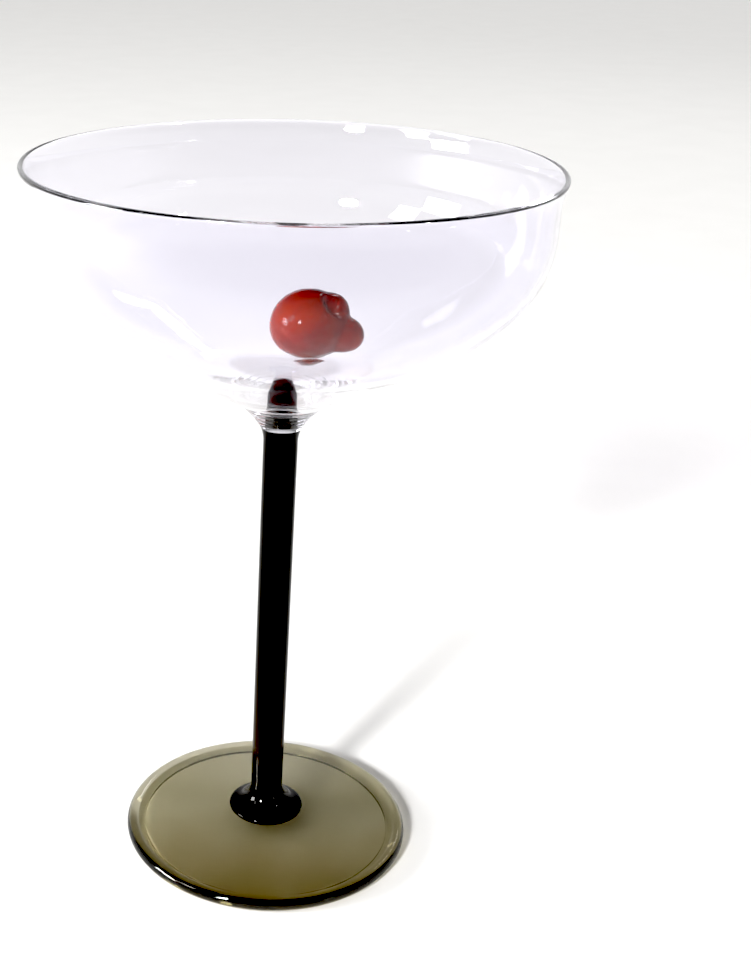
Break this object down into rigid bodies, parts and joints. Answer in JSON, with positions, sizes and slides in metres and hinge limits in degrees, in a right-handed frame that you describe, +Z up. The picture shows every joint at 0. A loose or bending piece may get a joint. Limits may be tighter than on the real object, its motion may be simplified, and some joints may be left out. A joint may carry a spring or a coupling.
{
  "type": "stemmed cocktail glass",
  "caption": "Stemmed cocktail glass with a wide clear bowl, a clear collar, a smoke rod stem on a smoke foot, and a red glass cherry fixed inside the bowl.",
  "frame": {"origin": "centre of the foot, on the plane that the glass stands on", "axes": "+Z up along the stem to the rim; +X and +Y are level, and the cherry lies on the +X +Y side of the bowl, with its lobes towards +X"},
  "size_m": [0.1152, 0.1152, 0.17],
  "materials": {
    "clear_glass": "clear, fire-polished borosilicate glass",
    "dark_smoke_glass": "near-black smoke glass rod, fire-polished",
    "smoke_glass": "translucent olive-grey smoke glass, fire-polished",
    "red_glass": "deep orange-red glass, glossy"
  },
  "bodies": {
    "root": {"bowl": "clear_glass", "collar": "clear_glass", "stem": "dark_smoke_glass", "foot": "smoke_glass", "cherry": "red_glass", "cherry_weld": "clear_glass"}
  },
  "joints": []
}
